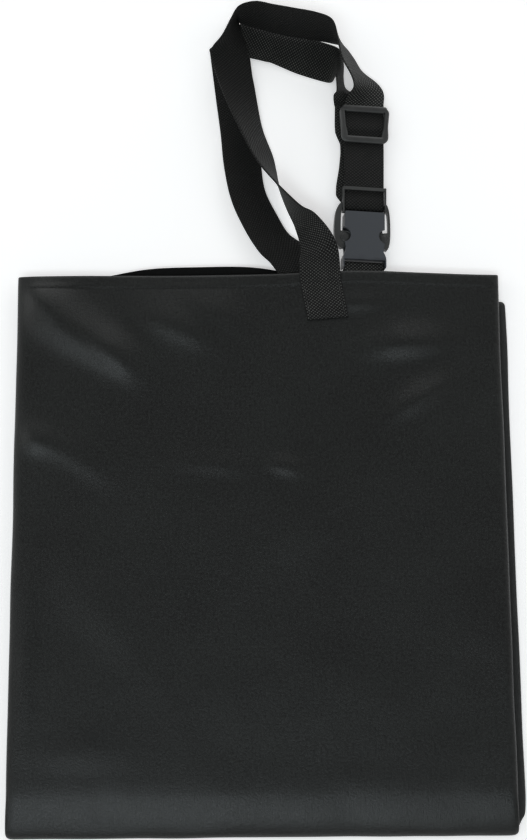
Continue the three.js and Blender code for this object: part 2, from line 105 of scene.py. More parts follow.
# ---------- materials ----------
class Nodes:
    """A small helper that makes shader nodes and links them in one call."""

    def __init__(self, name):
        self.material = bpy.data.materials.new(name)
        self.material.use_nodes = True
        self.tree = self.material.node_tree
        self.shader = self.tree.nodes["Principled BSDF"]

    def add(self, kind, inputs=None, **settings):
        node = self.tree.nodes.new(kind)
        for key, value in settings.items():
            setattr(node, key, value)
        for key, value in (inputs or {}).items():
            if isinstance(value, bpy.types.NodeSocket):
                self.tree.links.new(value, node.inputs[key])
            else:
                node.inputs[key].default_value = value
        return node

    def maths(self, operation, first, second=0.0):
        return self.add("ShaderNodeMath", {0: first, 1: second}, operation=operation).outputs[0]

    def uv(self):
        """Across and along the cloth, in metres."""
        split = self.add("ShaderNodeSeparateXYZ", {0: self.add("ShaderNodeUVMap", uv_map="cloth").outputs[0]})
        return split.outputs[0], split.outputs[1]

    def ramp(self, factor, stops):
        node = self.add("ShaderNodeValToRGB", {0: factor})
        elements = node.color_ramp.elements
        while len(elements) < len(stops):
            elements.new(0.5)
        for element, (position, colour) in zip(elements, stops):
            element.position = position
            element.color = (*colour, 1)
        return node.outputs[0]

    def noise(self, vector, scale, detail=3.0, roughness=0.55):
        inputs = {"Vector": vector, "Scale": scale, "Detail": detail, "Roughness": roughness}
        return self.add("ShaderNodeTexNoise", inputs).outputs[0]

    def bump(self, height, distance, strength, normal=None):
        inputs = {"Height": height, "Distance": distance, "Strength": strength}
        if normal is not None:
            inputs["Normal"] = normal
        return self.add("ShaderNodeBump", inputs).outputs[0]

    def link(self, output, socket):
        self.tree.links.new(output, self.shader.inputs[socket])

    def set(self, **values):
        for key, value in values.items():
            self.shader.inputs[key.replace("_", " ")].default_value = value


def lattice(nodes, across, along, pitch_across, pitch_along):
    """The raised yarns of a weave: lumps in rows, each row offset by half a lump."""
    columns = nodes.maths("DIVIDE", across, pitch_across)
    rows = nodes.maths("DIVIDE", along, pitch_along)
    slants = [nodes.maths(operation, columns, rows) for operation in ("ADD", "SUBTRACT")]
    waves = [nodes.maths("SINE", nodes.maths("MULTIPLY", slant, math.pi)) for slant in slants]
    return nodes.maths("ABSOLUTE", nodes.maths("MULTIPLY", waves[0], waves[1]))


def fabric_material():
    """Black coated polyester: a fine plain weave with a satin sheen, a little cloudy."""
    nodes = Nodes("bag_fabric")
    across, along = nodes.uv()
    place = nodes.add("ShaderNodeUVMap", uv_map="cloth").outputs[0]
    weave = lattice(nodes, across, along, 0.0009, 0.0009)
    cloud = nodes.noise(place, 14.0, 4.0)
    speck = nodes.noise(place, 560.0, 2.5, 0.75)
    drawn = nodes.add("ShaderNodeVectorMath", {0: place, 1: (900, 130, 1)}, operation="MULTIPLY")
    slub = nodes.noise(drawn.outputs[0], 1.0, 2.0)
    grain = nodes.maths("ADD", nodes.maths("MULTIPLY", speck, 0.6), nodes.maths("MULTIPLY", slub, 0.25))
    tone = nodes.maths("ADD", nodes.maths("MULTIPLY", cloud, 0.28), nodes.maths("SUBTRACT", grain, 0.06))
    black = nodes.ramp(tone, [(0.38, (0.0019, 0.0024, 0.0022)), (0.62, (0.0112, 0.0134, 0.0124))])
    nodes.link(black, "Base Color")
    nodes.link(nodes.ramp(speck, [(0.35, (0.28,) * 3), (0.65, (0.38,) * 3)]), "Roughness")
    fine = nodes.bump(grain, 0.0011, 0.3, nodes.bump(weave, 0.00012, 0.35))
    soft = nodes.bump(nodes.noise(place, 60.0, 3.0), 0.0006, 0.16, fine)
    nodes.link(soft, "Normal")
    nodes.set(Specular_IOR_Level=0.45, Sheen_Weight=0.02, Sheen_Roughness=0.4)
    return nodes.material


def lining_material():
    """The uncoated inner face of the same cloth: duller, and painted darker as shade for the inside of the
    mouth.
    """
    nodes = Nodes("bag_lining")
    across, along = nodes.uv()
    weave = lattice(nodes, across, along, 0.0011, 0.0011)
    fuzz = nodes.noise(nodes.add("ShaderNodeUVMap", uv_map="cloth").outputs[0], 480.0, 3.0, 0.7)
    tone = nodes.maths("ADD", nodes.maths("MULTIPLY", weave, 0.4), nodes.maths("MULTIPLY", fuzz, 0.6))
    # The darker colour is partly painted shade for the inside of the mouth.
    black = nodes.ramp(tone, [(0.3, (0.002, 0.0022, 0.0022)), (0.75, (0.0065, 0.007, 0.007))])
    nodes.link(black, "Base Color")
    nodes.link(nodes.bump(tone, 0.0002, 0.5), "Normal")
    nodes.set(Roughness=0.85, Specular_IOR_Level=0.12)
    return nodes.material


def webbing_material():
    """Coarse polypropylene webbing: raised yarns in a staggered weave. One face has painted highlights on its
    yarn crowns; the other face has none.

    The plain face has its map moved 100 mm across, so that the two faces can be told apart.
    """
    nodes = Nodes("webbing")
    across, along = nodes.uv()
    place = nodes.add("ShaderNodeUVMap", uv_map="cloth").outputs[0]
    plain = nodes.maths("GREATER_THAN", across, 0.05)
    yarns = lattice(nodes, across, along, 0.0028, 0.0023)
    # Random fuzz on the yarns; it also varies the painted crown highlights.
    fuzz_and_edge_highlight = nodes.noise(place, 650.0, 3.0, 0.7)
    wide = nodes.noise(place, 45.0, 2.0)
    crown = nodes.maths("ADD", nodes.maths("MULTIPLY", yarns, 0.6), nodes.maths("MULTIPLY", fuzz_and_edge_highlight, 0.34))
    crown = nodes.maths("ADD", crown, nodes.maths("MULTIPLY", wide, 0.16))
    # The pale upper stops are painted highlights on the yarn crowns of one face.
    highlighted_crowns = nodes.ramp(crown, [(0.3, (0.001, 0.0011, 0.001)), (0.55, (0.0075, 0.008, 0.0073)),
                                (0.72, (0.033, 0.0345, 0.032)), (0.9, (0.16, 0.165, 0.153))])
    dull = nodes.ramp(crown, [(0.25, (0.0014, 0.0015, 0.0014)), (0.9, (0.016, 0.0166, 0.0152))])
    mix = nodes.add("ShaderNodeMix", {0: plain, 6: highlighted_crowns, 7: dull}, data_type="RGBA")
    nodes.link(mix.outputs[2], "Base Color")
    nodes.link(nodes.ramp(yarns, [(0.1, (0.85,) * 3), (0.9, (0.52,) * 3)]), "Roughness")
    hairs = nodes.bump(fuzz_and_edge_highlight, 0.0002, 0.3)
    nodes.link(nodes.bump(yarns, 0.0005, 0.9, hairs), "Normal")
    nodes.set(Specular_IOR_Level=0.3, Sheen_Weight=0.02, Sheen_Roughness=0.5)
    return nodes.material


def thread_material(name, dark, light):
    nodes = Nodes(name)
    place = nodes.add("ShaderNodeTexCoord").outputs["Object"]
    twist = nodes.noise(place, 2500.0, 2.0)
    nodes.link(nodes.ramp(twist, [(0.3, dark), (0.7, light)]), "Base Color")
    nodes.link(nodes.bump(twist, 0.0001, 0.5), "Normal")
    nodes.set(Roughness=0.55, Specular_IOR_Level=0.5)
    return nodes.material


def plastic_material(name, dark, light, roughness):
    """Moulded plastic: a fine spark-eroded grain, a faint cloudiness, and convex edges painted paler as a
    highlight.
    """
    nodes = Nodes(name)
    place = nodes.add("ShaderNodeTexCoord").outputs["Object"]
    grain = nodes.noise(place, 2600.0, 3.0, 0.6)
    cloud = nodes.noise(place, 90.0, 3.0)
    edges = nodes.add("ShaderNodeNewGeometry").outputs["Pointiness"]
    # Convex edges are painted paler: a painted highlight on the rounded rims.
    fuzz_and_edge_highlight = nodes.ramp(edges, [(0.5, (0.0,) * 3), (0.58, (0.35,) * 3)])
    tone = nodes.maths("ADD", nodes.maths("MULTIPLY", cloud, 0.7), nodes.maths("MULTIPLY", grain, 0.3))
    tone = nodes.maths("ADD", tone, fuzz_and_edge_highlight)
    nodes.link(nodes.ramp(tone, [(0.3, dark), (0.75, light)]), "Base Color")
    spread = (roughness - 0.05, roughness + 0.06)
    nodes.link(nodes.ramp(grain, [(0.3, (spread[0],) * 3), (0.7, (spread[1],) * 3)]), "Roughness")
    nodes.link(nodes.bump(grain, 0.00006, 0.4), "Normal")
    nodes.set(Specular_IOR_Level=0.5)
    return nodes.material


# ---------- mesh helpers ----------
def make_mesh(name, points, faces, material, uvs=None, smooth=True):
    """A mesh object from points in millimetres. uvs holds one (across, along) per point, in millimetres."""
    mesh = bpy.data.meshes.new(name)
    mesh.from_pydata([tuple(c * MM for c in point) for point in points], [], faces)
    if uvs is not None:
        layer = mesh.uv_layers.new(name="cloth")
        for loop in mesh.loops:
            across, along = uvs[loop.vertex_index]
            layer.data[loop.index].uv = (across * MM, along * MM)
    for polygon in mesh.polygons:
        polygon.use_smooth = smooth
    mesh.materials.append(material)
    obj = bpy.data.objects.new(name, mesh)
    SCENE.collection.objects.link(obj)
    return obj


def smooth_step(low, high, value):
    t = min(max((value - low) / (high - low), 0.0), 1.0)
    return t * t * (3 - 2 * t)


def spline(points, t):
    """A uniform Catmull-Rom curve through the points, at t from 0 to 1."""
    spans = len(points) - 1
    place = min(max(t, 0.0), 1.0) * spans
    k = min(int(place), spans - 1)
    s = place - k
    p1, p2 = points[k], points[k + 1]
    p0 = points[k - 1] if k > 0 else p1 * 2 - p2
    p3 = points[k + 2] if k + 2 <= spans else p2 * 2 - p1
    m1, m2 = (p2 - p0) * 0.5, (p3 - p1) * 0.5
    return (p1 * (2 * s**3 - 3 * s**2 + 1) + m1 * (s**3 - 2 * s**2 + s)
            + p2 * (-2 * s**3 + 3 * s**2) + m2 * (s**3 - s**2))


def ribbon_section():
    """Half-width and half-thickness shares round a strip of webbing with rounded edges."""
    half = WEB_WIDTH / 2
    thick = WEB_THICK / 2 - 0.05
    inner = [-14.3, -13.2, -11, -7.5, -3.8, 0, 3.8, 7.5, 11, 13.2, 14.3]
    top = [(x, thick * (0.93 if abs(x) > 14 else 1.0)) for x in inner]
    right = [(half - 0.15, thick * 0.55), (half, 0), (half - 0.15, -thick * 0.55)]
    bottom = [(x, -h) for x, h in reversed(top)]
    left = [(-x, -h) for x, h in right]
    return top + right + bottom + left


def ribbon(name, frames, material, along_start=0.0, plain_above=False):
    """A strip of webbing through frames of (middle, across, normal).

    Above is the side that the normals point to.
    """
    section = ribbon_section()
    points, uvs, faces = [], [], []
    along = along_start
    count = len(section)
    for i, (middle, across, normal) in enumerate(frames):
        if i:
            along += (middle - frames[i - 1][0]).length
        for x, h in section:
            points.append(middle + across * x + normal * h)
            uvs.append((x + (100 if (h > 0) == plain_above else 0), along))
    for i in range(len(frames) - 1):
        for j in range(count):
            a, b = i * count + j, i * count + (j + 1) % count
            faces.append((a, b, b + count, a + count))
    faces.append(tuple(reversed(range(count))))
    faces.append(tuple(range((len(frames) - 1) * count, len(frames) * count)))
    return make_mesh(name, points, faces, material, uvs)


def station_frames(stations, first, last, steps):
    """Frames along webbing that is ruled between its two edges."""
    edges = [[Vector(station[side]) for station in stations] for side in (0, 1)]
    spans = len(stations) - 1

    def middle(t):
        return (spline(edges[0], t) + spline(edges[1], t)) / 2

    frames = []
    for i in range(steps + 1):
        t = (first + (last - first) * i / steps) / spans
        across = (spline(edges[1], t) - spline(edges[0], t)).normalized()
        tangent = (middle(min(t + 0.002, 1)) - middle(max(t - 0.002, 0))).normalized()
        normal = across.cross(tangent).normalized()
        frames.append((middle(t), across, normal))
    return frames


# ---------- bag ----------
HEM_WIDTH = 10.4
HEM_SEAM = 9.2  # in from the mouth

# Soft creases of the upper front panel: middle, length, width, angle in degrees, height.
CREASES = [
    ((-140, 158), 42, 12, -32, 4.4), ((-106, 141), 22, 9, -44, 3.0), ((-160, 182), 22, 10, -38, 3.0),
    ((-60, 162), 34, 11, -24, 2.9), ((-28, 172), 26, 9, -30, 1.7), ((109, 147), 28, 8, 6, 3.2),
    ((117, 106), 24, 6, 32, 2.8), ((18, 57), 12, 4.5, -14, 1.8), ((-34, 59), 26, 6, -6, 1.3),
    ((-165, 78), 18, 7, -22, 3.0), ((-130, 64), 24, 8, -34, 1.5), ((72, 178), 20, 4, 3, 1.4),
    ((-120, -150), 40, 16, -12, 1.0), ((40, 10), 46, 12, 20, 0.6), ((150, -60), 40, 9, 68, 0.7),
    ((-168, -90), 70, 9, 86, 1.3), ((62, 34), 14, 6, 30, 1.0), ((-100, -60), 50, 16, -50, 0.8),
]


def crease_height(x, y):
    """The creases are one-sided: steep towards the cross fold and long towards the mouth."""
    total = 0.0
    for (cx, cy), length, width, angle, height in CREASES:
        a = math.radians(angle)
        along = (x - cx) * math.cos(a) + (y - cy) * math.sin(a)
        across = -(x - cx) * math.sin(a) + (y - cy) * math.cos(a)
        width *= 1.9 if across > 0 else 1.0
        total += 1.12 * height * math.exp(-((along / length) ** 2) - (across / width) ** 2)
    return total


def mouth_edge(x):
    """How far the front panel's mouth reaches in y, and how far it lifts there."""
    lift = math.exp(-(((x - 72) / 42) ** 2))
    sag = smooth_step(0, 1, (abs(x) - 120) / 60)
    y = MOUTH_Y - 0.9 * sag + 0.5 * math.sin(x / 37) + 1.6 * lift
    return y, 2.2 * lift


def mouth_edge_back(x):
    """The back panel's mouth bulges out behind the front one, left of the strap."""
    bulge = math.exp(-(((x + 42) / 66) ** 4))
    return MOUTH_Y - 1.2 + 9.5 * bulge + 0.4 * math.sin(x / 29 + 1)


def front_lift(x, y):
    """Height of the upper front panel above its flat level."""
    edge_y, lift = mouth_edge(x)
    inset = edge_y - y
    hem = 0.45 * smooth_step(0, 1, (HEM_WIDTH - inset) / 1.2)
    groove = -0.28 * math.exp(-(((inset - HEM_SEAM) / 0.8) ** 2))
    pucker = 0.14 * math.sin(x * 0.9) * math.exp(-(((inset - HEM_SEAM) / 3) ** 2))
    edge = -0.5 * math.exp(-((inset / 0.9) ** 2))
    broad = noise.noise(Vector((x / 85, y / 70, 3.1)))
    small = noise.noise(Vector((x / 34, y / 30, 8.4)))
    wave = broad * 0.9 + small * 0.25
    fade = smooth_step(0, 1, (BAG_HALF - abs(x)) / 14) * smooth_step(0, 1, (y - FOLD_TOP_Y) / 26)
    calm = 1 - 0.6 * math.exp(-(((inset) / 9) ** 2))
    near_mouth = lift * math.exp(-((inset / 26) ** 2))
    return (crease_height(x, y) * calm + wave) * fade + hem + groove + pucker + edge + near_mouth


# Heights of the four layers before their creases and waves, from the top down.
FRONT_LEVEL = 13.1
BACK_LEVEL = 5.7
LOWER_BACK_LEVEL = 3.95
LOWER_FRONT_LEVEL = 0.5
SIDE_REACH = 5  # of the rolled seam beyond the two sheets
BACK_FOLD_Y = -189  # where the back panel starts to turn
LOWER_START_Y = -176  # where the front panel is flat again underneath
FOLD_TOP_Y = -164  # where the front panel starts to slope down to the fold
UPPER_RUN = MOUTH_Y - FOLD_TOP_Y
# The front panel round the cross fold, as (y, height): a long gentle slope, a blunt tip, then flat below.
FOLD_PROFILE = [
    (FOLD_TOP_Y, FRONT_LEVEL), (-172, 12.75), (-179.5, 11.7), (-186.5, 10.2), (-192.5, 8.3), (-197, 6.4),
    (-199.8, 4.7), (-201.3, 2.9), (-201.2, 1.5), (-199.6, 0.7), (-195, 0.5), (-186, 0.5),
    (LOWER_START_Y, LOWER_FRONT_LEVEL),
]
CLOSED_ROUND = 4  # radius of the turn at the closed end
COLUMNS = 84
SIDE_COLUMNS = 7


def bag_rows():
    """Stations along the bag: how far in from the mouth, then round the fold, then to the closed end."""
    rows = [("upper", d) for d in (0, 0.5, 1.2, 2.2, 3.6, 5.2, 6.8, 8.0, 8.7, 9.2, 9.7, 10.4, 11.4, 13)]
    rows += [("upper", 13 + (UPPER_RUN - 13) * k / 86) for k in range(1, 87)]
    rows += [("fold", k / 30) for k in range(1, 31)]
    rows += [("lower", k / 60) for k in range(1, 61)]
    rows += [("end", math.pi / 2 * k / 5) for k in range(1, 6)]
    return rows


def bag_point(row, x_share, side):
    """A point of the front (side 1) or back (side -1) sheet, with x_share from -1 to 1 across."""
    kind, value = row
    inner_half = BAG_HALF - SIDE_REACH
    x = x_share * inner_half
    if kind == "upper":
        if side > 0:
            edge_y, _ = mouth_edge(x)
            y = edge_y - value * (edge_y - FOLD_TOP_Y) / UPPER_RUN
            z = FRONT_LEVEL + front_lift(x, y)
        else:
            edge_y = mouth_edge_back(x)
            y = edge_y - value * (edge_y - BACK_FOLD_Y) / UPPER_RUN
            hem = 0.5 * smooth_step(0, 1, (HEM_WIDTH - value) / 1.2)
            z = BACK_LEVEL + hem + 0.25 * noise.noise(Vector((x / 60, y / 60, 1.7)))
        x += edge_wander(x_share, y)
    elif kind == "fold":
        angle = math.pi * value
        x += UNDER_SHIFT * smooth_step(0.75, 1, value) + 0.7 * math.sin(angle) * x_share
        if side > 0:
            y, z = spline([Vector(p) for p in FOLD_PROFILE], value)
            swell = math.sin(math.pi * min(value / 0.75, 1))
            z += swell * (0.9 * noise.noise(Vector((x / 38, 7.7, 2 * value))) - fold_dent(x))
            y += 0.4 * noise.noise(Vector((x / 30, 1.2, value))) * math.sin(angle)
        else:
            y = BACK_FOLD_Y - 5 * math.sin(angle)
            z = 4.83 + 0.83 * math.cos(angle)
        x += edge_wander(x_share, -195)
    else:
        start = LOWER_START_Y if side > 0 else BACK_FOLD_Y
        end = CLOSED_Y - CLOSED_ROUND
        along = value if kind == "lower" else 1
        y = start + (end - start) * along
        wave = 0.3 * noise.noise(Vector((x / 55, y / 60, 5.5 + side)))
        z = LOWER_FRONT_LEVEL + abs(wave) * 0.6 if side > 0 else LOWER_BACK_LEVEL + wave * 0.6
        if kind == "end":
            y += CLOSED_ROUND * math.sin(value)
            z = 2.2 + (z - 2.2) * math.cos(value)
            x *= 1 - 0.004 * (1 - math.cos(value))
        x += UNDER_SHIFT + edge_wander(x_share, y + 700)
    return Vector((x, y, z))


def fold_dent(x):
    """Small hollows in the slope of the cross fold."""
    return 1.0 * math.exp(-(((x + 108) / 9) ** 2)) + 0.5 * math.exp(-(((x - 60) / 14) ** 2))


def edge_wander(x_share, y):
    """The sides aren't ruled lines: they wander by half a millimetre or so."""
    if abs(x_share) < 0.9:
        return 0.0
    pull = (abs(x_share) - 0.9) / 0.1
    return math.copysign(1, x_share) * pull * 0.7 * noise.noise(Vector((y / 48, 2.2 * x_share, 0.4)))


def bag_shell(material, lining):
    """The whole bag as one loft, open at the mouth and closed at the other end, bent round the cross fold."""
    rows = bag_rows()
    shares = [-1 + 2 * k / COLUMNS for k in range(COLUMNS + 1)]
    points, uvs = [], []
    along = 0.0
    last = None
    for row in rows:
        front = [bag_point(row, share, 1) for share in shares]
        back = [bag_point(row, share, -1) for share in shares]
        if last is not None:
            along += (front[COLUMNS // 2] - last).length
        last = front[COLUMNS // 2]
        loop = [(p, p.x) for p in front]
        loop += side_roll(front[-1], back[-1], 1, row)
        loop += [(p, 700 - p.x) for p in reversed(back)]
        loop += [(p, -a) for p, a in side_roll(back[0], front[0], -1, row)]
        for point, across in loop:
            points.append(point)
            uvs.append((across, along))
    count = 2 * (COLUMNS + 1) + 2 * (SIDE_COLUMNS - 1)
    faces = []
    for i in range(len(rows) - 1):
        for j in range(count):
            a, b = i * count + j, i * count + (j + 1) % count
            faces.append((a, a + count, b + count, b))
    shell = make_mesh("bag_shell", points, faces, material, uvs)
    weld(shell, 0.00004)
    solidify = shell.modifiers.new("cloth", "SOLIDIFY")
    solidify.thickness = 0.0006
    solidify.offset = -1
    shell.data.materials.append(lining)
    solidify.material_offset = 1
    subdivide = shell.modifiers.new("smooth", "SUBSURF")
    subdivide.levels = subdivide.render_levels = 1
    return shell


def side_roll(start, end, side, row):
    """The rolled edge between the two sheets: a round bead with the seam's line along its middle."""
    reach = SIDE_REACH
    kind, value = row
    if kind == "end":
        reach *= math.cos(value) * 0.6 + 0.4
    beads = []
    for k in range(1, SIDE_COLUMNS):
        angle = math.pi * k / SIDE_COLUMNS
        share = (1 - math.cos(angle)) / 2
        point = start.lerp(end, share)
        pinch = 1 - 0.1 * math.exp(-(((share - 0.5) / 0.12) ** 2))
        point.x += side * reach * math.sin(angle) ** 0.8 * pinch
        beads.append((point, abs(start.x) + 8 * share))
    return beads


def weld(obj, distance):
    mesh = bmesh.new()
    mesh.from_mesh(obj.data)
    bmesh.ops.remove_doubles(mesh, verts=mesh.verts, dist=distance)
    bmesh.ops.recalc_face_normals(mesh, faces=mesh.faces)
    mesh.to_mesh(obj.data)
    mesh.free()


def stitch_row(name, path, normal_at, material, pitch=3.0, length=2.3, radius=0.2):
    """A row of separate stitches along a path: each is a small bead of thread that dips in at its ends."""
    lengths = [0.0]
    for a, b in zip(path, path[1:]):
        lengths.append(lengths[-1] + (b - a).length)
    total = lengths[-1]
    points, faces = [], []
    count = max(int(total / pitch), 1)

    def at(distance):
        distance = min(max(distance, 0), total)
        k = min(int(np.searchsorted(lengths, distance, side="right")) - 1, len(path) - 2)
        share = (distance - lengths[k]) / max(lengths[k + 1] - lengths[k], 1e-9)
        return path[k].lerp(path[k + 1], share), (path[k + 1] - path[k]).normalized()

    sides, rings = 7, 6
    for i in range(count):
        middle = (i + 0.5) * total / count
        base = len(points)
        for ring in range(rings + 1):
            share = ring / rings - 0.5
            place, along = at(middle + share * length)
            up = normal_at(place)
            across = along.cross(up).normalized()
            swell = math.sqrt(max(1 - (2 * share) ** 4, 0.02))
            sink = -0.34 * (2 * share) ** 2
            for side in range(sides):
                angle = 2 * math.pi * side / sides
                points.append(place + up * (sink + 0.12 + radius * swell * math.sin(angle))
                              + across * (radius * swell * math.cos(angle)))
        for ring in range(rings):
            for side in range(sides):
                a, b = base + ring * sides + side, base + ring * sides + (side + 1) % sides
                faces.append((a, b, b + sides, a + sides))
        faces.append(tuple(base + side for side in reversed(range(sides))))
        faces.append(tuple(base + rings * sides + side for side in range(sides)))
    return make_mesh(name, points, faces, material)


def front_surface(x, y):
    """A point on the upper front panel, or just beyond its mouth."""
    edge_y, _ = mouth_edge(x)
    return Vector((x, y, FRONT_LEVEL + front_lift(x, min(y, edge_y))))


# ---------- strap: each station is a pair of points on the webbing's two edges ----------
TAB = [
    [(36.1, 166.2), (65.9, 168.2)],
    [(35.3, 171.3), (65.1, 173.1)],
    [(34.2, 176.5), (64.1, 178.2)],
    [(33.0, 183.5), (62.9, 185.2)],
    [(31.9, 190.5), (61.8, 192.1)],
    [(30.9, 196.8), (60.8, 198.5)],
]
FRONT_LEG = [
    [[30.5, 209.5, 15.6], [60, 211, 18]],
    [[33, 221, 11], [53.5, 227, 28]],
    [[28, 240, 6], [42, 242, 32]],
    [[23, 253, 3], [32.5, 248, 31]],
    [[19, 264, 2.5], [23, 256.5, 32]],
    [[16, 275, 2.5], [13, 267, 32]],
    [[14, 287, 3], [3.5, 279, 30]],
    [[11.5, 298.5, 3.6], [-5, 293, 28.5]],
    [[4.5, 318, 4], [-15, 315, 26.8]],
    [[0.5, 338, 4.2], [-23, 335.5, 22]],
    [[-3, 359, 6], [-30.5, 359, 16.5]],
    [[-7, 379, 8], [-34.5, 375, 18]],
    [[-11.5, 396, 8], [-25.5, 384, 29]],
    [[-14.5, 408.5, 5], [-18.5, 397, 31]],
    [[-12.5, 405.5, 5.4], [-12.3, 405.5, 34]],
    [[0, 401, 5.9], [0, 409, 33.7]],
    [[14.4, 396.5, 6.3], [13, 406.5, 33.5]],
    [[28, 393.5, 6.3], [28, 403.5, 33.5]],
    [[44, 390.7, 5.8], [45, 400, 33.5]],
    [[57, 388.8, 4.6], [57, 394.3, 33]],
    [[67, 386, 3], [61, 380.5, 31.5]],
    [[74, 377, 3], [64, 366, 29]],
    [[80.5, 365, 3.5], [71.5, 352, 26.5]],
    [[91, 354.5, 5], [73.5, 344.5, 22.5]],
    [[96.6, 344.5, 7.2], [68.5, 340.8, 16.5]],
]
BACK_LEG_RISE = [
    [[23, 171, 8.6], [53, 173, 8.6]],
    [[19.5, 188, 8.7], [47.5, 193, 8.7]],
    [[16.5, 202, 9.2], [41.5, 213, 8.5]],
    [[9.5, 211, 11], [34, 226, 6]],
    [[1, 220, 12.5], [22.5, 236, 3]],
    [[-9, 236, 11.5], [14.5, 251, 2]],
    [[-18.5, 258, 12.5], [5.5, 270, 2]],
    [[-24, 285, 11], [2.5, 289, 1.6]],
    [[-27.5, 314, 4.5], [2.3, 316, 1.4]],
    [[-31, 343, 1.4], [-1.1, 346, 1.4]],
]
BACK_LEG_TOP = [
    [[17.4, 400.8, 3.4], [9.2, 372, 3.4]],
    [[38, 394, 4.2], [31.5, 364.7, 1.3]],
    [[59, 386.8, 3.4], [53.8, 357.6, 1.6]],
    [[64.5, 380, 3.2], [58.9, 356.2, 15]],
    [[66.4, 371, 2.8], [59.6, 354, 25]],
    [[66, 360, 2.8], [60, 347, 28]],
    [[68, 351, 2.8], [60.4, 341, 26]],
    [[78, 345, 2.8], [60.6, 340.5, 17]],
    [[84.5, 340.5, 3.0], [60.2, 336.5, 11]],
]
FOLD_START = Vector((-16.1, 345.2))
FOLD_CORNER = Vector((-22, 395))
FOLD_END = Vector((15.5, 385.4))
CREASE_RADIUS = 1.2


def tab_stations():
    """The sewn end of the strap, lying on the front panel."""
    lie = WEB_THICK / 2 + 0.15
    return [[[x, y, front_surface(x, y).z + lie] for x, y in pair] for pair in TAB]


def tab_stitches(thread):
    """The tab is sewn down with a box: one row along each side, one at its end and one at the mouth."""
    inset = 2.4 / WEB_WIDTH
    edges = [[Vector(station[side]) for station in tab_stations()] for side in (0, 1)]

    def at(across, along):
        point = spline(edges[0], along).lerp(spline(edges[1], along), across)
        return point + Vector((0, 0, WEB_THICK / 2))

    sweep = np.linspace(0, 1, 40)
    low, high = 0.05, 0.93
    rows = [
        [at(inset, low + (high - low) * k) for k in sweep],
        [at(1 - inset, low + (high - low) * k) for k in sweep],
        [at(inset + (1 - 2 * inset) * k, low) for k in sweep],
        [at(inset + (1 - 2 * inset) * k, high) for k in sweep],
    ]
    pieces = []
    for number, row in enumerate(rows, 1):
        pieces.append(stitch_row(f"tab_stitches_{number}", row, lambda p: Vector((0, 0, 1)), thread,
                                 pitch=2.7, length=2.1, radius=0.26))
        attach(pieces[-1], "bag_upper")
    return pieces


def front_runs(webbing):
    """The front leg: the sewn tab and the left column stay with the bag; the top is a ribbon of its own."""
    joins = [[list(on_train(side * 15, v, FRONT_LAYER)) for side in (1, -1)] for v in (88, 80)]
    whole = tab_stations() + FRONT_LEG + joins
    corner = len(TAB) + 12
    rise = ribbon("strap_front_run", station_frames(whole, 0, corner, 230), webbing)
    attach(rise, "bag_upper")
    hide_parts("strap_sewn_end", "front_leg_rise", "front_leg_side")
    top = ribbon("strap_front_top", station_frames(whole, corner, len(whole) - 1, 190), webbing, 331)
    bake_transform(top)
    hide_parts("front_leg_top", "front_leg_end")
    return rise, top


def folded_frames():
    """The back leg up the left column and over its slanted crease, as a grid of points."""
    inward = (FOLD_CORNER - FOLD_START).normalized()
    outward = (FOLD_END - FOLD_CORNER).normalized()
    beyond = (inward - outward).normalized()
    right = Vector((inward.y, -inward.x))
    length = (FOLD_CORNER - FOLD_START).length + (FOLD_END - FOLD_CORNER).length
    wrap = math.pi * CREASE_RADIUS

    def place(along, across, height):
        flat = FOLD_START + inward * along + right * across
        past = (flat - FOLD_CORNER).dot(beyond)
        lift = height
        if past > wrap:
            flat += beyond * (wrap - 2 * past)
            lift = 2 * CREASE_RADIUS - height
        elif past > 0:
            angle = past / CREASE_RADIUS
            flat += beyond * ((CREASE_RADIUS - height) * math.sin(angle) - past)
            lift = CREASE_RADIUS - (CREASE_RADIUS - height) * math.cos(angle)
        return Vector((flat.x, flat.y, 1.3 + lift))

    return place, length


def fold_exit():
    """Two stations at the far end of the folded run, for the next run to start from."""
    place, length = folded_frames()
    sides = (WEB_WIDTH / 2, -WEB_WIDTH / 2)
    return [[list(place(along, side, 0)) for side in sides] for along in (length - 14, length)]


def folded_run(name, webbing):
    place, length = folded_frames()
    columns = np.linspace(-WEB_WIDTH / 2, WEB_WIDTH / 2, 41)
    steps = 130
    half = WEB_THICK / 2 - 0.05
    points, uvs, faces = [], [], []
    for i in range(steps + 1):
        along = length * i / steps
        for height in (half, -half):
            row = columns if height > 0 else columns[::-1]
            for x in row:
                points.append(place(along, float(x), height))
                uvs.append((float(x) + (100 if height > 0 else 0), along + 190))
    count = 2 * len(columns)
    for i in range(steps):
        for j in range(count):
            a, b = i * count + j, i * count + (j + 1) % count
            faces.append((a, b, b + count, a + count))
    faces.append(tuple(reversed(range(count))))
    faces.append(tuple(range(steps * count, (steps + 1) * count)))
    return make_mesh(name, points, faces, webbing, uvs)


def back_runs(webbing):
    rise = ribbon("strap_back_run", station_frames(BACK_LEG_RISE, 0, len(BACK_LEG_RISE) - 1, 150), webbing,
                  plain_above=True)
    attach(rise, "bag_upper")
    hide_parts("back_leg_rise")
    corner = folded_run("strap_back_corner", webbing)
    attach(corner, "bag_upper")
    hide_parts("back_leg_side")
    join = [list(on_train(u, 84.5, BACK_LAYER)) for u in (8.3, -21.7)]
    stations = fold_exit() + BACK_LEG_TOP[1:] + [join]
    top = ribbon("strap_back_top", station_frames(stations, 1, len(stations) - 1, 160), webbing, 286)
    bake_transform(top)
    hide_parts("back_leg_top", "back_leg_end")
    return rise, corner, top


def relaxed(points, spacing, passes=4):
    """Evenly spaced rows along a polyline, with its corners softened."""
    points = np.array(points, float)
    length = np.concatenate([[0], np.cumsum(np.linalg.norm(np.diff(points, axis=0), axis=1))])
    at = np.linspace(0, length[-1], int(length[-1] / spacing) + 1)
    rows = np.column_stack([np.interp(at, length, column) for column in points.T])
    for _ in range(passes):
        rows[1:-1] = (rows[:-2] + 2 * rows[1:-1] + rows[2:]) / 4
    return rows


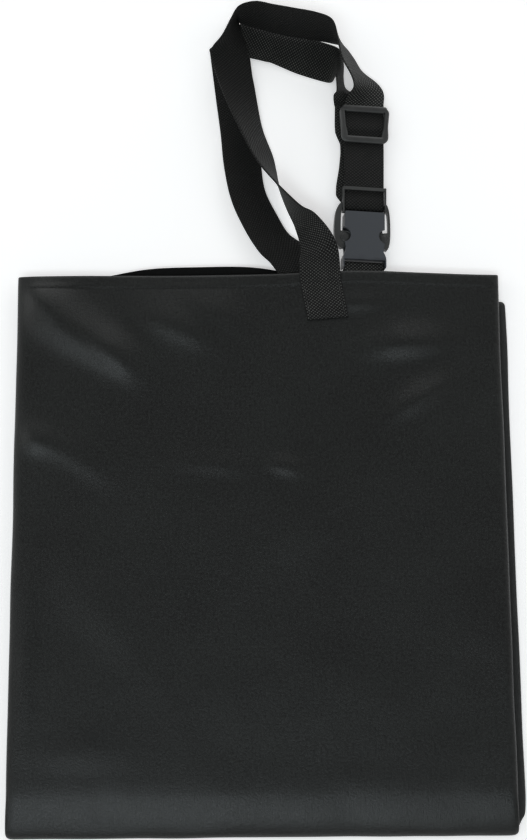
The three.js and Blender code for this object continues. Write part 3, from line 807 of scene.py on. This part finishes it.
def edge_frames(rows):
    """Frames of (middle, across, normal) from rows that hold the two edges of the webbing."""
    ends = [(Vector(row[:3]), Vector(row[3:])) for row in rows]
    middles = [(a + b) / 2 for a, b in ends]
    frames = []
    for k, (a, b) in enumerate(ends):
        tangent = middles[min(k + 1, len(ends) - 1)] - middles[max(k - 1, 0)]
        across = (b - a).normalized()
        frames.append((middles[k], across, across.cross(tangent).normalized()))
    return frames


def train_edges(u, v, w):
    """Both edges of webbing that lies square across the train, its middle at (u, v, w)."""
    half = WEB_WIDTH / 2
    return [*on_train(u - half, v, w), *on_train(u + half, v, w)]


def half_turn(centre, middle, radius, direction):
    """Points (v, w) round a bar, from above to below it; direction -1 passes it on its far side."""
    angles = [math.pi / 2 + math.pi * k / 8 for k in range(9)]
    return [(centre + direction * radius * math.cos(a), middle + radius * math.sin(a)) for a in angles]


def buckle_webbing(webbing):
    """The strap through the slider and round the plug's bar, and the short strap that holds the socket."""
    radius = (FRONT_LAYER - BACK_LAYER) / 2
    middle = (FRONT_LAYER + BACK_LAYER) / 2
    path = [(0, v, w) for v, w in [
        (80.5, FRONT_LAYER), (76, FRONT_LAYER), (72, 2.1), (68, 3.0), (66, 2.9), (63, 1.4), (60.5, 0.9),
        (56, 1.3), (50, FRONT_LAYER), (32, 1.9), (20, 1.6), (14, 1.7), (9.5, 2.4), (7, 2.3)]]
    path += [(0, v, w) for v, w in half_turn(LOOP_BAR, middle, radius, 1)]
    path += [(-1, 8, BACK_LAYER), (-5.6, 14, -3.1), (-5.4, 22, -3.1), (-3.3, 36, BACK_LAYER),
             (-2.3, 48, BACK_LAYER), (-2.5, 55, -3), (-4.8, 60, -3.1), (-6.4, 64, -3.1), (-6.8, 70, -3),
             (-6.8, 86, BACK_LAYER)]
    rows = relaxed([train_edges(*point) for point in path], 1.0)
    loop = ribbon("strap_buckle_run", edge_frames(rows), webbing)
    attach(loop, "strap_end")
    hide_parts("strap_buckle_loop")

    small = 1.5 + 0.3 + WEB_THICK / 2
    upper = [[61, 174, 10.4, 91, 174, 10.4], [61, 188, 10.4, 91, 188, 10.4], [62, 198, 12.4, 92, 198, 10.9],
             train_edges(0, -46, small), train_edges(0, -43.5, small)]
    turn = [train_edges(0, v, w) for v, w in half_turn(SOCKET_BAR, 0, small, -1)]
    lower = [train_edges(0, -43.5, -small), [62, 200.5, 8.8, 92, 200.5, 7.2], [61, 190, 8.7, 91, 190, 8.2],
             [61, 174, 8.7, 91, 174, 8.7]]
    socket_run = ribbon("socket_strap_run", edge_frames(relaxed(upper + turn + lower, 0.8)), webbing)
    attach(socket_run, "bag_upper")
    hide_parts("socket_strap_loop", "socket_strap_sewn_end")
    return loop, socket_run


# ---------- buckle ----------
def round_edges(node, width, material):
    """A CAD solid with its edges rounded as moulded plastic has them."""
    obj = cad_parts[node]
    bevel = obj.modifiers.new("rounding", "BEVEL")
    bevel.width = width * MM
    bevel.segments = 3
    bevel.limit_method = "ANGLE"
    bevel.angle_limit = math.radians(32)
    bevel.harden_normals = False
    paint(obj, material)
    for polygon in obj.data.polygons:
        polygon.use_smooth = True
    return obj


def rounded_corners(corners, radius, steps=7):
    """A closed outline through the corners, each one turned by an arc."""
    outline = []
    for k, corner in enumerate(corners):
        here = Vector(corner)
        back = (Vector(corners[k - 1]) - here).normalized()
        ahead = (Vector(corners[(k + 1) % len(corners)]) - here).normalized()
        half_angle = back.angle(ahead) / 2
        reach = radius / math.tan(half_angle)
        centre = here + (back + ahead).normalized() * (radius / math.sin(half_angle))
        first = here + back * reach - centre
        last = here + ahead * reach - centre
        for step in range(steps + 1):
            share = step / steps
            spoke = (first * (1 - share) + last * share).normalized() * radius
            outline.append(centre + spoke)
    return outline


def moulded_section(half_wide, low, high, count=16):
    """A rounded cross-section (out, up) of a moulded bar."""
    points = []
    for k in range(count):
        angle = 2 * math.pi * k / count
        c, n = math.cos(angle), math.sin(angle)
        squash = (abs(c) ** 3.2 + abs(n) ** 3.2) ** (-1 / 3.2)
        points.append((half_wide * c * squash, (low + high) / 2 + (high - low) / 2 * n * squash))
    return points


def swept_bar(outline, section_at, closed=True):
    """Points in the train's frame and faces of a bar swept along an outline in its plane."""
    points, faces = [], []
    rings = len(outline)
    for k, here in enumerate(outline):
        before = outline[k - 1] if closed or k else here
        after = outline[(k + 1) % rings] if closed or k < rings - 1 else here
        along = (after - before).normalized()
        out = Vector((along.y, -along.x))
        section = section_at(here)
        for wide, up in section:
            points.append(on_train(here.x + out.x * wide, here.y + out.y * wide, up))
    count = len(section)
    for k in range(rings if closed else rings - 1):
        for j in range(count):
            a, b = k * count + j, k * count + (j + 1) % count
            c, d = ((k + 1) % rings) * count + (j + 1) % count, ((k + 1) % rings) * count + j
            faces.append((a, b, c, d))
    if not closed:
        faces.append(tuple(reversed(range(count))))
        faces.append(tuple((rings - 1) * count + j for j in range(count)))
    return points, faces


def merged(name, parts, material):
    """One mesh object from several (points, faces) shells."""
    points, faces = [], []
    for part_points, part_faces in parts:
        base = len(points)
        points += part_points
        faces += [tuple(base + index for index in face) for face in part_faces]
    obj = make_mesh(name, points, faces, material)
    weld(obj, 0.000005)
    return obj


def slider_body(material):
    """The slider: a rounded frame over the strap, side rails that reach down beside it, and a bar beneath."""
    over, top, low = 2.75, 5.4, -1.7
    bar = SLIDER["bar"]
    near, far = SLIDER["near"] + bar / 2, SLIDER["far"] - bar / 2
    near_half, far_half = SLIDER["near_half"] - bar / 2, SLIDER["far_half"] - bar / 2
    outline = rounded_corners(
        [(-near_half, near), (near_half, near), (far_half, far), (-far_half, far)], 2.6)
    dense = []
    for k, point in enumerate(outline):
        after = outline[(k + 1) % len(outline)]
        pieces = max(int((after - point).length / 1.2), 1)
        dense += [point.lerp(after, step / pieces) for step in range(pieces)]

    def section(point):
        side = smooth_step(15.4, 16.3, abs(point.x))
        return moulded_section(bar / 2 - 0.7 * side, over + (low - over) * side, top, 20)

    crossbar = [Vector((x, SLIDER_CROSSBAR)) for x in np.linspace(-17, 17, 9)]
    under = moulded_section(3.0, low + 0.1, 0.6, 16)
    parts = [swept_bar(dense, section), swept_bar(crossbar, lambda point: under, closed=False)]
    slider = merged("slider_body", parts, material)
    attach(slider, "slider")
    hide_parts("tri_glide")
    return slider


def arm_boss(name, body, side, radius, material):
    """The round end of a release arm that shows in the socket's cut-out: a low dome with a rounded rim."""
    centre = (side * (18.3 - radius), -19.0)
    profile = [(0.0, 3.0), (0.35, 2.95), (0.6, 2.8), (0.72, 2.55), (0.78, 2.5), (0.84, 2.75), (0.93, 2.8),
               (0.99, 2.4), (1.0, 1.8), (1.0, -2.2), (0.95, -2.6), (0.0, -2.6)]
    spokes = 40
    points, faces = [], []
    for share, up in profile:
        for k in range(spokes):
            angle = 2 * math.pi * k / spokes
            points.append(on_train(centre[0] + radius * share * math.cos(angle),
                                   centre[1] + radius * share * math.sin(angle), up))
    for ring in range(len(profile) - 1):
        for k in range(spokes):
            a, b = ring * spokes + k, ring * spokes + (k + 1) % spokes
            faces.append((a, a + spokes, b + spokes, b))
    boss = merged(name, [(points, faces)], material)
    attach(boss, body)
    return boss


def paint(obj, material):
    if obj.material_slots:
        for place in obj.material_slots:
            place.material = material
    else:
        obj.data.materials.append(material)


# ---------- stage ----------
def make_stage():
    """A pale floor that curves up into a backdrop a long way off, so that a low view meets no horizon."""
    nodes = Nodes("studio_floor")
    nodes.set(Base_Color=(0.93, 0.93, 0.93, 1), Roughness=0.9, Specular_IOR_Level=0.1)
    nodes.set(Emission_Color=(1, 1, 1, 1), Emission_Strength=0.4)
    rings = [(9000, 0), (10500, 120), (11500, 450), (12200, 1000), (12600, 1800), (12800, 3200)]
    spokes = 72
    points, faces = [Vector((0, 0, -0.2))], []
    for radius, height in rings:
        for k in range(spokes):
            angle = 2 * math.pi * k / spokes
            points.append(Vector((radius * math.cos(angle), radius * math.sin(angle), height - 0.2)))
    for k in range(spokes):
        ahead = (k + 1) % spokes
        faces.append((0, 1 + k, 1 + ahead))
        for ring in range(len(rings) - 1):
            a, b = 1 + ring * spokes + k, 1 + ring * spokes + ahead
            faces.append((a, a + spokes, b + spokes, b))
    make_mesh("floor", points, faces, nodes.material)


def area_light(name, place, aim, size, power, colour=(1, 1, 1)):
    light = bpy.data.lights.new(name, "AREA")
    light.shape = "RECTANGLE"
    light.size, light.size_y = size
    light.energy = power
    light.color = colour
    obj = bpy.data.objects.new(name, light)
    obj.location = place
    obj.rotation_mode = "QUATERNION"
    obj.rotation_quaternion = (Vector(aim) - Vector(place)).to_track_quat("-Z", "Y")
    SCENE.collection.objects.link(obj)


def make_lights():
    world = bpy.data.worlds.new("studio")
    world.use_nodes = True
    world.node_tree.nodes["Background"].inputs[0].default_value = (1, 1, 1, 1)
    world.node_tree.nodes["Background"].inputs[1].default_value = 0.262
    SCENE.world = world
    SCENE.view_settings.view_transform = "Standard"
    area_light("key_softbox", (-1.1, -3.7, 6.6), (0, 0, 0), (4.4, 1.5), 130, (0.87, 0.965, 1))
    area_light("left_softbox", (-2.0, 0.6, 1.35), (0, 0.1, 0), (1.5, 2.2), 8)
    area_light("right_softbox", (2.0, 0.4, 1.45), (0, 0.1, 0), (1.5, 2.2), 3.5)
    area_light("back_softbox", (0.3, 2.4, 1.3), (0, 0.1, 0), (3.0, 1.5), 18)


# ---------- build ----------
make_camera()
fabric = fabric_material()
webbing = webbing_material()
thread = thread_material("sewing_thread", (0.002, 0.0022, 0.0022), (0.009, 0.0095, 0.0095))
webbing_thread = thread_material("tab_thread", (0.012, 0.0125, 0.012), (0.05, 0.052, 0.05))
plastic = plastic_material("buckle_plastic", (0.023, 0.026, 0.0305), (0.055, 0.061, 0.07), 0.42)
dark_plastic = plastic_material("dark_plastic", (0.014, 0.0148, 0.0146), (0.048, 0.0498, 0.0485), 0.36)

shell = bag_shell(fabric, lining_material())
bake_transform(shell)
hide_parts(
    "front_panel_upper", "back_panel_upper", "back_panel_lower", "front_panel_lower", "front_hem",
    "back_hem", "side_seam_right_upper", "side_seam_left_upper", "side_seam_right_lower",
    "side_seam_left_lower", "closed_end_seam", "front_panel_fold", "back_panel_fold")

hem_path = [front_surface(x, mouth_edge(x)[0] - HEM_SEAM) for x in np.linspace(-174, 174, 175)]
hem_stitches = stitch_row("hem_stitches", hem_path, lambda p: Vector((0, 0, 1)), thread)
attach(hem_stitches, "bag_upper")
tab_stitches(webbing_thread)

for piece in (*front_runs(webbing), *back_runs(webbing), *buckle_webbing(webbing)):
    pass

round_edges("buckle_socket", 0.8, plastic)
round_edges("plug_frame", 0.5, dark_plastic)
round_edges("release_arm_left", 0.7, dark_plastic)
round_edges("release_arm_right", 0.5, dark_plastic)
arm_boss("arm_boss_left", "arm_left", -1, 4.6, dark_plastic)
arm_boss("arm_boss_right", "arm_right", 1, 3.6, dark_plastic)
slider_body(dark_plastic)

make_stage()
make_lights()
